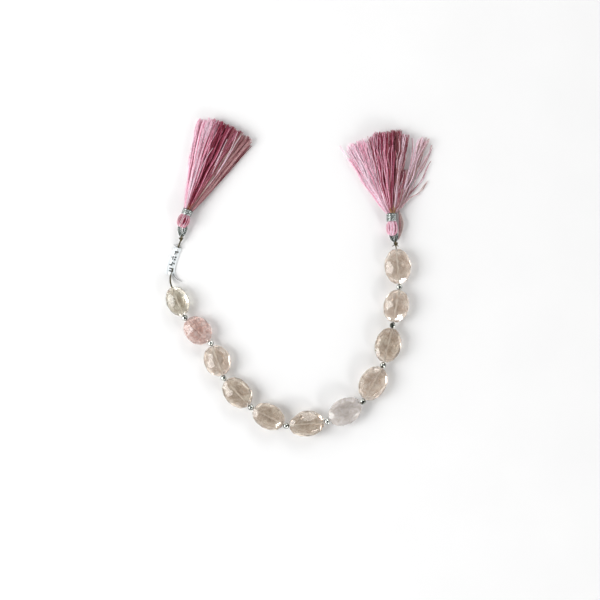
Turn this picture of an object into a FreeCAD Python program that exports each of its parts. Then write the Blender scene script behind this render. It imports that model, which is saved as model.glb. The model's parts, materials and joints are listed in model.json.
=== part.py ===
import FreeCAD, Part
import math
import os
import Sketcher
from FreeCAD import Placement, Rotation, Vector

# A strand of faceted oval stone beads laid out in an open U, with a silk tassel tied on at
# each end. Millimetres, +Z up, the stones and tassels lying on z = 0.
# Beads are numbered from the labelled left end; bead 6 is at the bottom of the U.

doc = FreeCAD.newDocument("bead_strand")

BEAD_LENGTHS = [14.1, 14.3, 14.7, 16.0, 15.9, 16.6, 16.5, 16.8, 16.5, 15.5, 16.6]
BEAD_WIDTHS = [10.9, 12.6, 12.9, 12.6, 12.2, 12.5, 12.6, 12.9, 12.6, 12.3, 12.9]
# How far the strand turns to the left at each spacer, going from bead 1 to bead 11.
LINK_TURNS = [23.6, -25.8, 22.6, 19.6, 33.2, 23.7, 31.6, 15.1, 4.1, 14.7]
MIDDLE_BEAD = 6

SHARED_SIZES = {
    "centre_x": 3.446,
    "centre_y": -71.834,
    "middle_heading": 5.7,
    "bead_thickness": 7.0,
    "bore_diameter": 0.76,
    "thread_diameter": 0.6,
    "spacer_diameter": 3.0,
    "spacer_bore_diameter": 0.74,
    "spacer_gap": 0.15,
    "spacer_thread_length": 3.1,
    "cord_gap": 0.4,
    "left_thread_stub": 0.5,
    "left_cord_rise": 0.62,
    "left_knot_rise": 1.9,
    "label_length": 13.6,
    "label_width": 5.0,
    "label_thickness": 1.1,
    "label_fold_width": 1.2,
    "label_edge_thickness": 0.3,
    "label_clearance": 0.08,
    "knot_diameter": 1.5,
    "knot_gap": 0.12,
    "right_knot_reach": 2.6,
    "neck_ball_diameter": 4.0,
    "neck_gap": 0.15,
    "wrap_clearance": 0.05,
    "loop_clearance": 0.05,
    "wrap_valley": 0.18,
    "bulb_overlap": 0.4,
    "skirt_end_thickness": 5.0,
    "skirt_start": 1.0,
    "skirt_floor_gap": 0.02,
    "slack_length": 12.4,
    "slack_end_radius": 0.35,
    "slack_swell": 0.85,
}

# The two tassels differ: the left one is a tidy fan, the right one is shorter and splayed.
TASSEL_SIZES = {
    "left": {
        "axis_rise": 3.1,
        "head_diameter": 6.2,
        "head_length": 6.3,
        "wrap_diameter": 5.0,
        "wrap_length": 2.9,
        "wrap_turns": 6,
        "core_diameter": 4.0,
        "loop_width": 5.0,
        "loop_length": 8.0,
        "loop_thickness": 1.25,
        "apex_back": 9.9,
        "skirt_length": 44.0,
        "fan_angle": 34.5,
    },
    "right": {
        "axis_rise": 2.9,
        "head_diameter": 5.7,
        "head_length": 6.8,
        "wrap_diameter": 5.1,
        "wrap_length": 4.2,
        "wrap_turns": 9,
        "core_diameter": 4.1,
        "loop_width": 4.5,
        "loop_length": 5.9,
        "loop_thickness": 1.2,
        "apex_back": 9.6,
        "skirt_length": 38.4,
        "fan_angle": 53.0,
    },
}

# ---- the spreadsheet of driving dimensions ----------------------------------------------

sheet = doc.addObject("Spreadsheet::Sheet", "Sizes")
sizes = dict(SHARED_SIZES)
for side, own in TASSEL_SIZES.items():
    sizes.update({f"{side}_{name}": value for name, value in own.items()})
for number, (length, width) in enumerate(zip(BEAD_LENGTHS, BEAD_WIDTHS), 1):
    sizes[f"bead_length_{number}"] = length
    sizes[f"bead_width_{number}"] = width
for number, turn in enumerate(LINK_TURNS, 1):
    sizes[f"link_turn_{number}"] = turn
for row, (alias, value) in enumerate(sizes.items(), 1):
    sheet.set(f"A{row}", alias)
    sheet.set(f"B{row}", str(value))
    sheet.setAlias(f"B{row}", alias)
doc.recompute()


def size(alias):
    """The sheet's value of one driving dimension."""
    return float(sheet.get(alias))


# ---- helpers ------------------------------------------------------------------------------

sub_parts = {}


def keep(piece, name):
    piece.Label = name
    sub_parts[name] = piece
    return piece


def direction(heading, climb=0.0):
    """A unit vector at a heading in the table's plane, climbing out of it."""
    turn, lift = math.radians(heading), math.radians(climb)
    flat = math.cos(lift)
    return Vector(flat * math.cos(turn), flat * math.sin(turn), math.sin(lift))


def frame_at(point, heading, climb=0.0):
    """A placement whose X axis runs along the strand at that point."""
    return Placement(point, Rotation(heading, -climb, 0))


def heading_of(start, end):
    run = end - start
    heading = math.degrees(math.atan2(run.y, run.x))
    climb = math.degrees(math.atan2(run.z, math.hypot(run.x, run.y)))
    return heading, climb


def bind(piece, **expressions):
    for name, expression in expressions.items():
        piece.setExpression(name, expression)
    return piece


def rod(name, radius, length):
    """A cylinder whose axis is turned onto X, starting at the origin."""
    cylinder = bind(doc.addObject("Part::Cylinder", name), Radius=radius, Height=length)
    cylinder.Placement = Placement(Vector(), Rotation(Vector(0, 1, 0), 90))
    return cylinder


def cut(name, base, tool):
    result = doc.addObject("Part::Cut", name)
    result.Base = base
    result.Tool = tool
    return result


def plane_of(body, role):
    return next(item for item in body.Origin.OriginFeatures if item.Role == role)


def outline(body, name, role, corners):
    """A closed sketch of straight lines; each corner is ((x, expression), (y, expression))."""
    sketch = body.newObject("Sketcher::SketchObject", name)
    sketch.AttachmentSupport = [(plane_of(body, role), "")]
    sketch.MapMode = "FlatFace"
    spots = [Vector(across[0], up[0], 0) for across, up in corners]
    for start, end in zip(spots, spots[1:] + spots[:1]):
        sketch.addGeometry(Part.LineSegment(start, end), False)
    for line in range(len(spots)):
        following = (line + 1) % len(spots)
        sketch.addConstraint(Sketcher.Constraint("Coincident", line, 2, following, 1))
    for line, (across, up) in enumerate(corners):
        for kind, (value, expression) in (("DistanceX", across), ("DistanceY", up)):
            number = sketch.addConstraint(
                Sketcher.Constraint(kind, -1, 1, line, 1, value)
            )
            sketch.setExpression(f"Constraints[{number}]", expression)
    return sketch


# ---- where everything lies -----------------------------------------------------------------

axis_height = size("bead_thickness") / 2
reach = size("spacer_diameter") / 2 + size("spacer_gap")  # spacer centre to bead mouth
count = len(BEAD_LENGTHS)

headings = {MIDDLE_BEAD: size("middle_heading")}
for number in range(MIDDLE_BEAD, count):
    headings[number + 1] = headings[number] + size(f"link_turn_{number}")
for number in range(MIDDLE_BEAD - 1, 0, -1):
    headings[number] = headings[number + 1] - size(f"link_turn_{number}")


def half(number):
    return size(f"bead_length_{number}") / 2


bead_centres = {MIDDLE_BEAD: Vector(size("centre_x"), size("centre_y"), axis_height)}
spacer_centres = {}
for number in range(MIDDLE_BEAD, count):
    out = direction(headings[number])
    onward = direction(headings[number + 1])
    spacer_centres[number] = bead_centres[number] + out * (half(number) + reach)
    bead_centres[number + 1] = spacer_centres[number] + onward * (
        half(number + 1) + reach
    )
for number in range(MIDDLE_BEAD - 1, 0, -1):
    back = direction(headings[number])
    out = direction(headings[number + 1])
    spacer_centres[number] = bead_centres[number + 1] - out * (half(number + 1) + reach)
    bead_centres[number] = spacer_centres[number] - back * (half(number) + reach)

# ---- the stones ----------------------------------------------------------------------------

FACETS_ROUND = 12
# Each ring of corners: its share of the plan, its share of the half thickness, and whether
# it is turned by half a facet.
RINGS = [
    (0.52, 1.0, 0),
    (0.81, 0.60, 1),
    (1.0, 0.0, 0),
    (0.81, -0.60, 1),
    (0.52, -1.0, 0),
]
END_TRIM = 0.35  # the ground flat round each drill mouth takes this off the oval's tip


def faceted_oval(length, width, thickness):
    """A solid with flat top and bottom and bands of three-cornered facets between."""
    semi = (length / 2 + END_TRIM, width / 2, thickness / 2)
    rings = []
    for share, level, turned in RINGS:
        ring = []
        for step in range(FACETS_ROUND):
            turn = 2 * math.pi * (step + 0.5 * turned) / FACETS_ROUND
            ring.append(
                Vector(
                    semi[0] * share * math.cos(turn),
                    semi[1] * share * math.sin(turn),
                    semi[2] * level,
                )
            )
        rings.append(ring)
    faces = [Part.Face(Part.makePolygon(ring + ring[:1])) for ring in (rings[0], rings[-1])]
    for upper, lower, (_, _, turned) in zip(rings, rings[1:], RINGS):
        for step in range(FACETS_ROUND):
            after = (step + 1) % FACETS_ROUND
            if turned:
                triples = (
                    (upper[step], lower[step], lower[after]),
                    (upper[step], lower[after], upper[after]),
                )
            else:
                triples = (
                    (upper[step], lower[step], upper[after]),
                    (upper[after], lower[step], lower[after]),
                )
            for corners in triples:
                faces.append(Part.Face(Part.makePolygon([*corners, corners[0]])))
    solid = Part.Solid(Part.makeShell(faces))
    if solid.Volume < 0:
        solid.reverse()
    trim = Part.makeBox(length, width * 2, thickness * 2)
    trim.translate(Vector(-length / 2, -width, -thickness))
    return solid.common(trim)


for number in range(1, count + 1):
    blank = doc.addObject("Part::Feature", f"StoneBlank{number}")
    blank.Shape = faceted_oval(
        size(f"bead_length_{number}"),
        size(f"bead_width_{number}"),
        size("bead_thickness"),
    )
    bore = rod(
        f"StoneBore{number}",
        "Sizes.bore_diameter / 2",
        f"Sizes.bead_length_{number} + 2",
    )
    bore.Placement = Placement(
        Vector(-half(number) - 1, 0, 0), bore.Placement.Rotation
    )
    stone = keep(cut(f"Stone{number}", blank, bore), f"bead_{number:02d}")
    stone.Placement = frame_at(bead_centres[number], headings[number])

# ---- the stringing thread through the stones ------------------------------------------------

for number in range(1, count + 1):
    before = size("left_thread_stub") if number == 1 else 0.0
    after = 0.0
    length = f"Sizes.bead_length_{number}"
    if number == 1:
        length += " + Sizes.left_thread_stub"
    if number == count:
        after = size("right_knot_reach") - size("knot_diameter") / 2 - size("knot_gap")
        length += " + Sizes.right_knot_reach - Sizes.knot_diameter / 2 - Sizes.knot_gap"
    piece = rod(f"BeadThread{number}", "Sizes.thread_diameter / 2", length)
    keep(piece, f"thread_in_bead_{number:02d}")
    start = Vector(-half(number) - before, 0, 0)
    piece.Placement = frame_at(bead_centres[number], headings[number]).multiply(
        Placement(start, Rotation(Vector(0, 1, 0), 90))
    )

# ---- the metal spacers and the thread inside them --------------------------------------------

for number, centre in sorted(spacer_centres.items()):
    heading = (headings[number] + headings[number + 1]) / 2
    place = frame_at(centre, heading)
    ball = bind(
        doc.addObject("Part::Sphere", f"SpacerBall{number}"),
        Radius="Sizes.spacer_diameter / 2",
    )
    ball.Placement = Placement(Vector(), Rotation(Vector(0, 1, 0), 90))
    bore = rod(
        f"SpacerBore{number}",
        "Sizes.spacer_bore_diameter / 2",
        "Sizes.spacer_diameter + 2",
    )
    bore.Placement = Placement(
        Vector(-size("spacer_diameter") / 2 - 1, 0, 0), bore.Placement.Rotation
    )
    spacer = keep(cut(f"Spacer{number}", ball, bore), f"spacer_{number:02d}")
    spacer.Placement = place
    piece = rod(
        f"SpacerThread{number}",
        "Sizes.thread_diameter / 2",
        "Sizes.spacer_thread_length",
    )
    keep(piece, f"thread_in_spacer_{number:02d}")
    piece.Placement = place.multiply(
        Placement(
            Vector(-size("spacer_thread_length") / 2, 0, 0),
            Rotation(Vector(0, 1, 0), 90),
        )
    )

# ---- the bare cord at the left end -------------------------------------------------------------


def tube(points, radius):
    """A round cord along straight runs joined by tangent arcs, from the first point."""
    edges = []
    start = points[0]
    for before, corner, after in zip(points, points[1:], points[2:]):
        into = corner - before
        out = after - corner
        shorter = min(into.Length, out.Length)
        turn = into.getAngle(out)
        trim = 0.45 * shorter
        print(f"cord bend radius {trim / math.tan(turn / 2):.2f} mm")
        into.normalize()
        out.normalize()
        first = corner - into * trim
        last = corner + out * trim
        middle = corner + (out - into).normalize() * (
            trim / math.cos(turn / 2) - trim * math.tan(turn / 2)
        ) * math.tan(turn / 2)
        edges.append(Part.LineSegment(start, first).toShape())
        edges.append(Part.Arc(first, middle, last).toShape())
        start = last
    edges.append(Part.LineSegment(start, points[-1]).toShape())
    path = Part.Wire(edges)
    section = Part.Wire(
        Part.makeCircle(radius, points[0], points[1] - points[0])
    )
    solid = path.makePipeShell([section], True, False)
    drawn = math.pi * radius**2 * path.Length
    print(f"cord volume {solid.Volume:.3f} of {drawn:.3f} mm3, length {path.Length:.2f}")
    return solid


mouth = bead_centres[1] - direction(headings[1]) * half(1)
cord_radius = size("thread_diameter") / 2
cord_gap = size("cord_gap")
cord_rise = size("left_cord_rise")


def flat_step(point, heading, length, height):
    """The point that lies that far along a heading, at a height of its own."""
    moved = point + direction(heading) * length
    return Vector(moved.x, moved.y, height)


# Bend centres along the bare cord: at the stone's mouth, at each end of the label, at the knot.
# Each step is a heading and a length; the first one also ends at a height of its own.
MOUTH_STEP = (108, 2.5)
LOWER_CORNER_HEIGHT = 1.75
LABEL_FOOT_STEP = (91, 2.7)
LABEL_HEADING = 74.5
KNOT_STEP = (68, 4.2)
mouth_bend = mouth - direction(headings[1]) * (size("left_thread_stub") + cord_gap)
lower_corner = flat_step(mouth_bend, *MOUTH_STEP, LOWER_CORNER_HEIGHT)
label_foot = flat_step(lower_corner, *LABEL_FOOT_STEP, cord_rise)
label_top = flat_step(
    label_foot, LABEL_HEADING, size("label_length") + 2 * cord_gap, cord_rise
)
left_knot = flat_step(label_top, *KNOT_STEP, size("left_knot_rise"))


def between(start, end, length):
    return start + (end - start).normalize() * length


lower = doc.addObject("Part::Feature", "LowerCord")
lower.Shape = tube(
    [
        between(mouth_bend, lower_corner, cord_gap) - mouth_bend,
        lower_corner - mouth_bend,
        between(label_foot, lower_corner, cord_gap) - mouth_bend,
    ],
    cord_radius,
)
lower.Placement = Placement(mouth_bend, Rotation())
keep(lower, "left_cord_lower")

label_place = frame_at(label_foot, *heading_of(label_foot, label_top))
held_cord = rod("LabelCord", "Sizes.thread_diameter / 2", "Sizes.label_length")
held_cord.Placement = label_place.multiply(
    Placement(Vector(cord_gap, 0, 0), Rotation(Vector(0, 1, 0), 90))
)
keep(held_cord, "left_cord_in_label")

upper_heading = heading_of(label_top, left_knot)
upper_length = (
    (left_knot - label_top).Length
    - cord_gap
    - size("knot_diameter") / 2
    - size("knot_gap")
)
upper = doc.addObject("Part::Feature", "UpperCord")
upper.Shape = Part.makeCylinder(cord_radius, upper_length, Vector(), Vector(1, 0, 0))
upper.Placement = frame_at(label_top, *upper_heading).multiply(
    Placement(Vector(cord_gap, 0, 0), Rotation())
)
keep(upper, "left_cord_upper")

# The folded paper label: a flat sleeve, pointed in section, that the cord runs through.
label = doc.addObject("PartDesign::Body", "Label")


def either_way(alias):
    """Half of a size of the sheet, on the plus side and on the minus side, as a corner needs it."""
    value = size(alias) / 2
    return (value, f"Sizes.{alias} / 2"), (-value, f"-Sizes.{alias} / 2")


right, left = either_way("label_width")
fold_right, fold_left = either_way("label_fold_width")
top, bottom = either_way("label_thickness")
edge_top, edge_bottom = either_way("label_edge_thickness")
section = outline(
    label,
    "LabelSection",
    "YZ_Plane",
    [
        (left, edge_top),
        (left, edge_bottom),
        (fold_left, bottom),
        (fold_right, bottom),
        (right, edge_bottom),
        (right, edge_top),
        (fold_right, top),
        (fold_left, top),
    ],
)
hole_diameter = size("thread_diameter") + size("label_clearance")
hole = section.addGeometry(
    Part.Circle(Vector(), Vector(0, 0, 1), hole_diameter / 2), False
)
section.addConstraint(Sketcher.Constraint("Coincident", hole, 3, -1, 1))
number = section.addConstraint(Sketcher.Constraint("Diameter", hole, hole_diameter))
section.setExpression(
    f"Constraints[{number}]", "Sizes.thread_diameter + Sizes.label_clearance"
)
sleeve = label.newObject("PartDesign::Pad", "LabelSleeve")
sleeve.Profile = section
sleeve.setExpression("Length", "Sizes.label_length")
label.Placement = label_place.multiply(Placement(Vector(cord_gap, 0, 0), Rotation()))
keep(label, "paper_label")

# ---- knots ---------------------------------------------------------------------------------------

right_mouth = bead_centres[count] + direction(headings[count]) * half(count)
right_knot = right_mouth + direction(headings[count]) * size("right_knot_reach")
for name, centre in (("left_knot", left_knot), ("right_knot", right_knot)):
    knot = bind(doc.addObject("Part::Sphere", name), Radius="Sizes.knot_diameter / 2")
    knot.Placement = Placement(centre, Rotation())
    keep(knot, name)

# ---- tassels -------------------------------------------------------------------------------------

# Each tassel's wrap centre from its knot, and the way its skirt points.
TASSEL_LAYS = {
    "left": (left_knot, 13.1, 76.8, 66.5),
    "right": (right_knot, 13.0, 98.4, 91.5),
}


def ring_of_thread(width, length, thickness, extra=0.0):
    """An oblong ring lying flat, its near end at the origin and its length along X."""
    bend = (width - thickness) / 2
    near = thickness / 2 + bend
    far = length - thickness / 2 - bend
    edges = [
        Part.Arc(
            Vector(near, bend, 0), Vector(thickness / 2, 0, 0), Vector(near, -bend, 0)
        ).toShape(),
        Part.LineSegment(Vector(near, -bend, 0), Vector(far, -bend, 0)).toShape(),
        Part.Arc(
            Vector(far, -bend, 0),
            Vector(length - thickness / 2, 0, 0),
            Vector(far, bend, 0),
        ).toShape(),
        Part.LineSegment(Vector(far, bend, 0), Vector(near, bend, 0)).toShape(),
    ]
    section = Part.Wire(
        Part.makeCircle(thickness / 2 + extra, Vector(near, bend, 0), Vector(1, 0, 0))
    )
    return Part.Wire(edges).makePipeShell([section], True, False)


loop_places = {}


def make_tassel(side):
    knot_centre, wrap_reach, wrap_heading, skirt_heading = TASSEL_LAYS[side]
    name = side.capitalize()
    rise = size(f"{side}_axis_rise")
    ball = size("neck_ball_diameter") / 2
    wrap_length = size(f"{side}_wrap_length")
    head_length = size(f"{side}_head_length")
    loop_thickness = size(f"{side}_loop_thickness")
    wrap_back = ball + size("neck_gap") + wrap_length / 2  # bend centre to wrap centre
    wrap_centre = flat_step(knot_centre, wrap_heading, wrap_reach, rise)
    neck = wrap_centre + direction(skirt_heading) * wrap_back
    place = frame_at(neck, skirt_heading)

    # The loop of metallic thread runs from beside the knot into the head.
    wrap_start = wrap_back + wrap_length / 2
    head_middle = place.multVec(Vector(-wrap_start - head_length / 2, 0, 0))
    loop_run = heading_of(knot_centre, head_middle)
    loop_start = size("knot_diameter") / 2 + size("knot_gap")
    loop_place = frame_at(knot_centre, *loop_run).multiply(
        Placement(Vector(loop_start, 0, 0), Rotation())
    )
    shape_of_loop = (
        size(f"{side}_loop_width"),
        size(f"{side}_loop_length"),
        loop_thickness,
    )
    loop = doc.addObject("Part::Feature", f"{name}Loop")
    loop.Shape = ring_of_thread(*shape_of_loop)
    loop.Placement = loop_place
    keep(loop, f"{side}_loop")
    loop_places[side] = loop_place

    # The head: the folded end of the silk, with the core that the wrap is wound on.
    bulb = bind(
        doc.addObject("Part::Ellipsoid", f"{name}Bulb"),
        Radius1=f"Sizes.{side}_head_length / 2 + Sizes.bulb_overlap",
        Radius2=f"Sizes.{side}_head_diameter / 2",
        Radius3=f"Sizes.{side}_head_diameter / 2",
    )
    bulb_centre = -wrap_start - head_length / 2 + size("bulb_overlap")
    bulb.Placement = Placement(Vector(bulb_centre, 0, 0), Rotation(Vector(0, 1, 0), 90))
    core = rod(
        f"{name}Core",
        f"Sizes.{side}_core_diameter / 2",
        f"Sizes.{side}_wrap_length + Sizes.{side}_head_length / 2",
    )
    core.Placement = Placement(
        Vector(-wrap_start - head_length / 2, 0, 0), core.Placement.Rotation
    )
    silk = doc.addObject("Part::Fuse", f"{name}Silk")
    silk.Base = bulb
    silk.Tool = core
    room = doc.addObject("Part::Feature", f"{name}LoopRoom")
    room.Shape = ring_of_thread(*shape_of_loop, extra=size("loop_clearance"))
    room.Placement = place.inverse().multiply(loop_place)
    wrap_room = doc.addObject("Part::Feature", f"{name}WrapRoom")
    wrap_radius = size(f"{side}_wrap_diameter") / 2
    core_radius = size(f"{side}_core_diameter") / 2
    wrap_space = Part.makeCylinder(
        wrap_radius + 1, wrap_length + 2, Vector(-wrap_start, 0, 0), Vector(1, 0, 0)
    )
    wrap_room.Shape = wrap_space.cut(
        Part.makeCylinder(
            core_radius, wrap_length + 4, Vector(-wrap_start - 1, 0, 0), Vector(1, 0, 0)
        )
    )
    open_silk = cut(f"{name}OpenSilk", silk, room)
    head = keep(cut(f"{name}Head", open_silk, wrap_room), f"{side}_head")
    head.Placement = place

    # The wrap: turns of metallic thread wound tight round the neck.
    wrap = doc.addObject("PartDesign::Body", f"{name}Wrap")
    turns = int(size(f"{side}_wrap_turns"))
    inner = (
        core_radius + size("wrap_clearance"),
        f"Sizes.{side}_core_diameter / 2 + Sizes.wrap_clearance",
    )
    pitch = wrap_length / turns
    corners = [
        ((-wrap_length / 2, f"-Sizes.{side}_wrap_length / 2"), inner),
    ]
    for step in range(2 * turns + 1):
        share = step / (2 * turns) - 0.5
        crest = (wrap_radius, f"Sizes.{side}_wrap_diameter / 2")
        valley = (wrap_radius - size("wrap_valley"), f"{crest[1]} - Sizes.wrap_valley")
        outer = crest if step % 2 else valley
        corners.append(
            ((share * turns * pitch, f"Sizes.{side}_wrap_length * {share}"), outer)
        )
    corners.append(((wrap_length / 2, f"Sizes.{side}_wrap_length / 2"), inner))
    ridges = outline(wrap, f"{name}WrapSection", "XZ_Plane", corners)
    wound = wrap.newObject("PartDesign::Revolution", f"{name}WrapTurns")
    wound.Profile = ridges
    wound.ReferenceAxis = (ridges, ["H_Axis"])
    wound.Angle = 360
    wrap.Placement = place.multiply(Placement(Vector(-wrap_back, 0, 0), Rotation()))
    keep(wrap, f"{side}_wrap")

    # The skirt: a flat fan lying on the table, with a round neck that it bends at.
    skirt = doc.addObject("PartDesign::Body", f"{name}Skirt")
    apex = size(f"{side}_apex_back")
    start = apex + size("skirt_start")
    end = apex + size(f"{side}_skirt_length")
    end_top = size("skirt_end_thickness") - rise
    low = size("skirt_floor_gap") - rise
    fan = outline(
        skirt,
        f"{name}FanSection",
        "XZ_Plane",
        [
            (
                (start, f"Sizes.{side}_apex_back + Sizes.skirt_start"),
                (ball, "Sizes.neck_ball_diameter / 2"),
            ),
            (
                (end, f"Sizes.{side}_apex_back + Sizes.{side}_skirt_length"),
                (end_top, f"Sizes.skirt_end_thickness - Sizes.{side}_axis_rise"),
            ),
            (
                (end, f"Sizes.{side}_apex_back + Sizes.{side}_skirt_length"),
                (low, f"Sizes.skirt_floor_gap - Sizes.{side}_axis_rise"),
            ),
            (
                (start, f"Sizes.{side}_apex_back + Sizes.skirt_start"),
                (-ball, "-Sizes.neck_ball_diameter / 2"),
            ),
        ],
    )
    swept = skirt.newObject("PartDesign::Revolution", f"{name}Fan")
    swept.Profile = fan
    swept.ReferenceAxis = (fan, ["V_Axis"])
    swept.Midplane = True
    swept.setExpression("Angle", f"Sizes.{side}_fan_angle")
    dome = skirt.newObject("Sketcher::SketchObject", f"{name}NeckSection")
    dome.AttachmentSupport = [(plane_of(skirt, "XZ_Plane"), "")]
    dome.MapMode = "FlatFace"
    dome.addGeometry(
        Part.ArcOfCircle(
            Part.Circle(Vector(apex, 0, 0), Vector(0, 0, 1), ball), 0, math.pi
        ),
        False,
    )
    dome.addGeometry(
        Part.LineSegment(Vector(apex - ball, 0, 0), Vector(apex + ball, 0, 0)), False
    )
    dome.addConstraint(Sketcher.Constraint("Coincident", 0, 2, 1, 1))
    dome.addConstraint(Sketcher.Constraint("Coincident", 0, 1, 1, 2))
    dome.addConstraint(Sketcher.Constraint("PointOnObject", 0, 3, 1))
    dome.addConstraint(Sketcher.Constraint("PointOnObject", 0, 3, -1))
    dome.addConstraint(Sketcher.Constraint("Horizontal", 1))
    number = dome.addConstraint(Sketcher.Constraint("DistanceX", -1, 1, 0, 3, apex))
    dome.setExpression(f"Constraints[{number}]", f"Sizes.{side}_apex_back")
    number = dome.addConstraint(Sketcher.Constraint("Radius", 0, ball))
    dome.setExpression(f"Constraints[{number}]", "Sizes.neck_ball_diameter / 2")
    rounded = skirt.newObject("PartDesign::Revolution", f"{name}Neck")
    rounded.Profile = dome
    rounded.ReferenceAxis = (dome, ["H_Axis"])
    rounded.Angle = 360
    skirt.Tip = rounded
    skirt.Placement = place.multiply(Placement(Vector(-apex, 0, 0), Rotation()))
    keep(skirt, f"{side}_skirt")
    return place, wrap_start


tassels = {side: make_tassel(side) for side in TASSEL_SIZES}

# The right tassel's slack bundle: silk that missed the wrap and bulges beside the head.
SLACK_STEPS = 6
SLACK_START = Vector(-2.3, -3.6, -0.6)  # from the neck, beside the skirt
SLACK_BULGE = Vector(0, -1.15, 0)  # how far its middle stands out to the side
SLACK_DRIFT = Vector(-size("slack_length"), 0.5, -0.6)  # from its first end to its last
slack_sections = []
for step in range(SLACK_STEPS + 1):
    share = step / SLACK_STEPS
    swell = math.sin(math.pi * share)
    centre = SLACK_START + SLACK_DRIFT * share + SLACK_BULGE * swell
    radius = size("slack_end_radius") + size("slack_swell") * swell
    slack_sections.append(Part.Wire(Part.makeCircle(radius, centre, Vector(1, 0, 0))))
slack = doc.addObject("Part::Feature", "SlackBundle")
slack.Shape = Part.makeLoft(slack_sections, True)
slack.Placement = tassels["right"][0]
keep(slack, "right_slack_bundle")

# ---- check and write ------------------------------------------------------------------------------

doc.recompute()
for item in doc.Objects:
    bad = [state for state in item.State if state in ("Invalid", "Error")]
    if bad:
        raise SystemExit(f"{item.Name} is {bad}")
os.makedirs("parts", exist_ok=True)
whole = FreeCAD.BoundBox()
for name, piece in sub_parts.items():
    shape = piece.Shape
    if shape.isNull() or not shape.isValid() or len(shape.Solids) != 1:
        raise SystemExit(f"{name} has no valid single solid ({len(shape.Solids)})")
    whole.add(shape.BoundBox)
    shape.exportStep(f"parts/{name}.step")
print(len(sub_parts), "sub-parts;", whole)
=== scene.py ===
import bpy
import json
import math
import random
from mathutils import Matrix, Vector


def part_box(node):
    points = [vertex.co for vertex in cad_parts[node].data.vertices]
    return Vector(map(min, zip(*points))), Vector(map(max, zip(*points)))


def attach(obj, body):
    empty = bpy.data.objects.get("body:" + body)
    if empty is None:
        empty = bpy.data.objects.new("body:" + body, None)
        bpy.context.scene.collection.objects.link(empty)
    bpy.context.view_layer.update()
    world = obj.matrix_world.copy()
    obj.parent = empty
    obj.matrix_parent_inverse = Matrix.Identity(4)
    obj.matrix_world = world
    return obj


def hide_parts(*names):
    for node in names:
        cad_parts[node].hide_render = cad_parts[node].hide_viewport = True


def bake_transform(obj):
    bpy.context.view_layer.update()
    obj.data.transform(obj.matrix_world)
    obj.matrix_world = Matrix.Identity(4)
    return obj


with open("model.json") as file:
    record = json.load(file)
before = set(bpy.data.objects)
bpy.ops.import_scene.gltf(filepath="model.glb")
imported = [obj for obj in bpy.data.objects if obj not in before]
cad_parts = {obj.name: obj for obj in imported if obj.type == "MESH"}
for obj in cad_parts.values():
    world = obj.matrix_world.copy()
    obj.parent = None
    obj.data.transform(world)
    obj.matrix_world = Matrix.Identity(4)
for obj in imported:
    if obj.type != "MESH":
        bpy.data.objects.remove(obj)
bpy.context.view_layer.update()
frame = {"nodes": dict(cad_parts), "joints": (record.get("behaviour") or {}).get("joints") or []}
bpy.ops.object.select_all(action="DESELECT")
mm = 0.001
up = Vector((0, 0, 1))
joints = {joint["name"]: joint for joint in frame["joints"]}


# small helpers

def jointPlace(name):
    return Vector(joints[name]["pos_m"]), Vector(joints[name]["axis"])


def reachOf(node, origin, along):
    # how far a node reaches from a point, backwards and forwards, along a direction
    steps = [(vertex.co - origin).dot(along) for vertex in frame["nodes"][node].data.vertices]
    return min(steps), max(steps)


def placeAlong(origin, along):
    # a place whose X axis runs along the given direction and whose Z stays as upright as it can
    along = along.normalized()
    side = up.cross(along).normalized()
    turned = Matrix((along, side, along.cross(side))).transposed().to_4x4()
    return Matrix.Translation(origin) @ turned


def pick(piece):
    bpy.ops.object.select_all(action="DESELECT")
    piece.select_set(True)
    bpy.context.view_layer.objects.active = piece


def settle(piece, place):
    # moves a finished piece to its place and leaves its object at the origin
    pick(piece)
    piece.matrix_world = place @ piece.matrix_world
    bpy.context.view_layer.update()
    bpy.ops.object.transform_apply(location=True, rotation=True, scale=True)


def smooth(share):
    share = max(0.0, min(1.0, share))
    return share * share * (3 - 2 * share)


# materials

def newMaterial(name, **sockets):
    material = bpy.data.materials.new(name)
    material.use_nodes = True
    shader = material.node_tree.nodes["Principled BSDF"]
    for socket, value in sockets.items():
        shader.inputs[socket.replace("_", " ")].default_value = value
    return material, material.node_tree, shader


def objectNoise(tree, scale, detail, distortion=0.0):
    place = tree.nodes.new("ShaderNodeTexCoord")
    noise = tree.nodes.new("ShaderNodeTexNoise")
    noise.inputs["Scale"].default_value = scale
    noise.inputs["Detail"].default_value = detail
    noise.inputs["Distortion"].default_value = distortion
    tree.links.new(place.outputs["Object"], noise.inputs["Vector"])
    return noise.outputs["Fac"]


def ramp(tree, factor, stops):
    node = tree.nodes.new("ShaderNodeValToRGB")
    node.color_ramp.elements[0].position = stops[0][0]
    node.color_ramp.elements[0].color = (*stops[0][1], 1)
    node.color_ramp.elements[1].position = stops[-1][0]
    node.color_ramp.elements[1].color = (*stops[-1][1], 1)
    for position, color in stops[1:-1]:
        node.color_ramp.elements.new(position).color = (*color, 1)
    tree.links.new(factor, node.inputs["Fac"])
    return node.outputs["Color"]


def addBump(tree, shader, height, strength, distance):
    bump = tree.nodes.new("ShaderNodeBump")
    bump.inputs["Strength"].default_value = strength
    bump.inputs["Distance"].default_value = distance
    tree.links.new(height, bump.inputs["Height"])
    tree.links.new(bump.outputs["Normal"], shader.inputs["Normal"])


def tinted(color, amount):
    return tuple(max(0.0, min(1.0, part * amount)) for part in color)


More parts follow.
